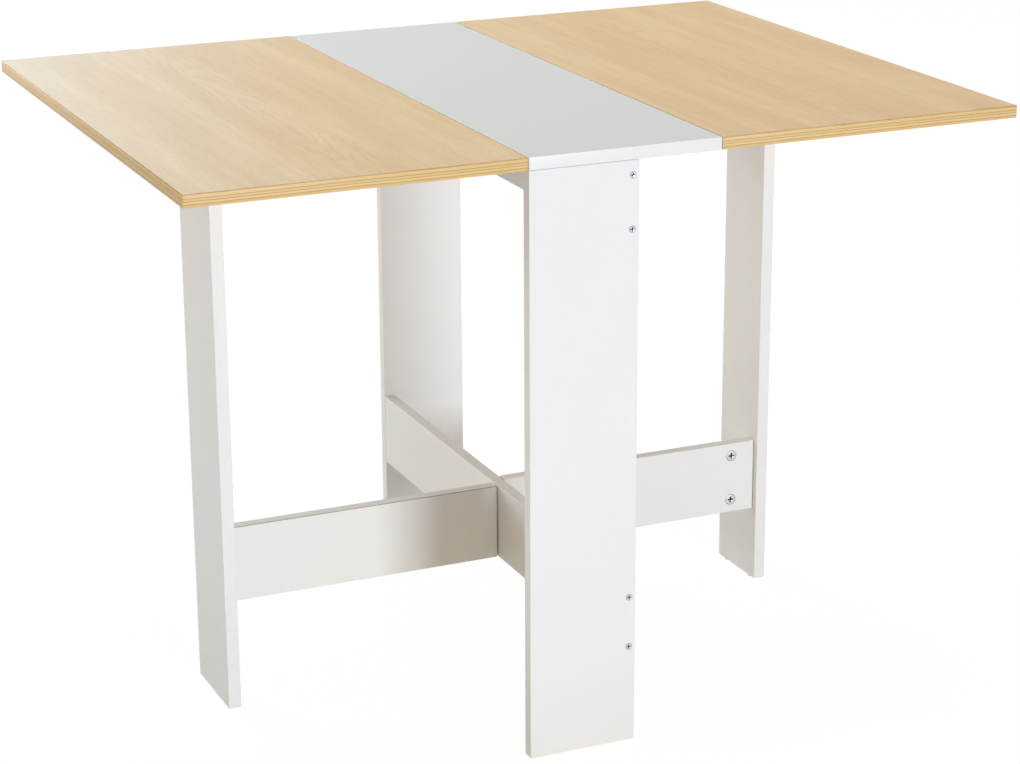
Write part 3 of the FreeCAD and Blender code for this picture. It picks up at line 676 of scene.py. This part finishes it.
def makeCamera():
    turn, down, roll = (math.radians(cameraShape[key]) for key in ("turn", "down", "roll"))
    ahead = Vector((math.sin(turn) * math.cos(down), math.cos(turn) * math.cos(down), -math.sin(down)))
    right = Vector((math.cos(turn), -math.sin(turn), 0))
    above = right.cross(ahead)
    side = right * math.cos(roll) + above * math.sin(roll)
    top = above * math.cos(roll) - right * math.sin(roll)
    data = bpy.data.cameras.new("photoCamera")
    data.sensor_fit = "HORIZONTAL"
    data.sensor_width = cameraShape["sensor"]
    data.lens = cameraShape["focal"] / cameraShape["wide"] * cameraShape["sensor"]
    data.clip_start, data.clip_end = cameraShape["clip"]
    camera = bpy.data.objects.new("photoCamera", data)
    bpy.context.scene.collection.objects.link(camera)
    turnMatrix = Matrix((side, top, -ahead)).transposed().to_4x4()
    camera.matrix_world = Matrix.Translation(cameraShape["place"]) @ turnMatrix
    bpy.context.scene.camera = camera


makeCamera()
print("camera placed")

# studio: white floor and surround, a key lamp in front, weak lamps at the left, at the back and above
studio = {
    "level": 0.30,
    "tint": (1.0, 0.98, 0.935),
    "sheen": 0.9,
    "glow": 2.8,
    "glowTint": (0.36, 0.64, 0.90),
    "glowWide": 18.5,
    "glowCore": 12.5,
    "floorSize": 14.0,
    "floorShade": 0.06,
    "floorGlow": 1.03,
    "patchPlace": (-0.03, -0.20, 0.0),
    "floorPatch": ((0.10, (0.95, 0.78, 0.53)), (0.46, (0.9, 0.9, 0.9))),
    "lamps": {
        "keyLamp": {"place": (0.0, -14.0, 2.7), "aim": (0, 0, 0.6), "size": 3.3, "watts": 1148.0,
                    "colour": (0.846, 0.900, 1.0)},
        "sideLamp": {"place": (-11.0, 3.2, 2.6), "aim": (0, 0, 0.6), "size": 3.2, "watts": 166.0,
                     "colour": (1.0, 1.0, 1.0)},
        "backLamp": {"place": (-1.4, 5.0, 1.6), "aim": (-0.1, 0, 0.6), "size": 2.0, "watts": 120.0,
                     "colour": (1.0, 1.0, 1.0)},
        "topLamp": {"place": (0.3, 0.4, 4.5), "aim": (0, 0, 0.7), "size": 1.8, "watts": 69.0,
                    "colour": (1.0, 1.0, 1.0)},
    },
}


def rayShares(tree):
    # 1 for what the camera sees, and 1 for mirrored rays, as two sockets
    path = tree.nodes.new("ShaderNodeLightPath")
    seen = mathNode(tree, "MAXIMUM", path.outputs["Is Camera Ray"], path.outputs["Is Transmission Ray"])
    return seen, path.outputs["Is Glossy Ray"]


def makeWorld():
    world = bpy.data.worlds.new("studioWorld")
    bpy.context.scene.world = world
    world.use_nodes = True
    tree = world.node_tree
    tree.nodes.clear()

    def background(colour, strength=1.0):
        return addNode(tree, "ShaderNodeBackground", {"Color": colour, "Strength": strength}).outputs[0]

    # a tall bright strip straight behind gives the tops their sheen, at every height alike
    place = tree.nodes.new("ShaderNodeTexCoord")
    level = vectorMath(tree, "MULTIPLY", place.outputs["Generated"], (1, 1, 0))
    unit = vectorMath(tree, "NORMALIZE", level.outputs[0])
    toward = vectorMath(tree, "DOT_PRODUCT", unit.outputs[0], (0, 1, 0))
    wide, core = (math.cos(math.radians(studio[key])) for key in ("glowWide", "glowCore"))
    limits = {"Value": toward.outputs["Value"], "From Min": wide, "From Max": core}
    patch = addNode(tree, "ShaderNodeMapRange", limits, interpolation_type="SMOOTHSTEP")
    bright = tuple(studio["sheen"] + studio["glow"] * part for part in studio["glowTint"])
    mirror = mixColours(tree, patch.outputs[0], grey(studio["sheen"]), (*bright, 1.0))
    around = background((*studio["tint"], 1.0), studio["level"])
    seen, glossy = rayShares(tree)
    last = mixShaders(tree, around, ((glossy, background(mirror)), (seen, background(grey(1.0)))))
    addNode(tree, "ShaderNodeOutputWorld", {"Surface": last})


def makeFloor():
    material = bpy.data.materials.new("sweepWhite")
    material.use_nodes = True
    tree = material.node_tree
    tree.nodes.clear()

    def glow(strength):
        return addNode(tree, "ShaderNodeEmission", {"Strength": strength}).outputs[0]

    # a warm patch under the table that only bounced light shows
    place = tree.nodes.new("ShaderNodeTexCoord")
    far = vectorMath(tree, "DISTANCE", place.outputs["Object"], studio["patchPlace"])
    tone = rampNode(tree, far.outputs["Value"], studio["floorPatch"], "EASE")
    matte = addNode(tree, "ShaderNodeBsdfDiffuse", {"Color": tone}).outputs[0]
    # what the camera sees is nearly white and keeps a faint shadow
    seen, glossy = rayShares(tree)
    plain = mathNode(tree, "MULTIPLY", seen, 1 - studio["floorShade"])
    last = mixShaders(tree, matte, ((glossy, glow(studio["sheen"])), (plain, glow(studio["floorGlow"]))))
    addNode(tree, "ShaderNodeOutputMaterial", {"Surface": last})
    bm = bmesh.new()
    bmesh.ops.create_grid(bm, x_segments=1, y_segments=1, size=studio["floorSize"])
    mesh = bpy.data.meshes.new("floor")
    bm.to_mesh(mesh)
    bm.free()
    mesh.materials.append(material)
    floor = bpy.data.objects.new("floor", mesh)
    bpy.context.scene.collection.objects.link(floor)


def makeLamp(name, shape):
    data = bpy.data.lights.new(name, "AREA")
    data.shape = "SQUARE"
    data.size = shape["size"]
    data.energy = shape["watts"]
    data.color = shape["colour"]
    lamp = bpy.data.objects.new(name, data)
    bpy.context.scene.collection.objects.link(lamp)
    lamp.location = shape["place"]
    aim = Vector(shape["aim"]) - Vector(shape["place"])
    lamp.rotation_euler = aim.to_track_quat("-Z", "Y").to_euler()


makeWorld()
makeFloor()
for name, shape in studio["lamps"].items():
    makeLamp(name, shape)
bpy.context.scene.view_settings.view_transform = "Standard"
print("studio lit")
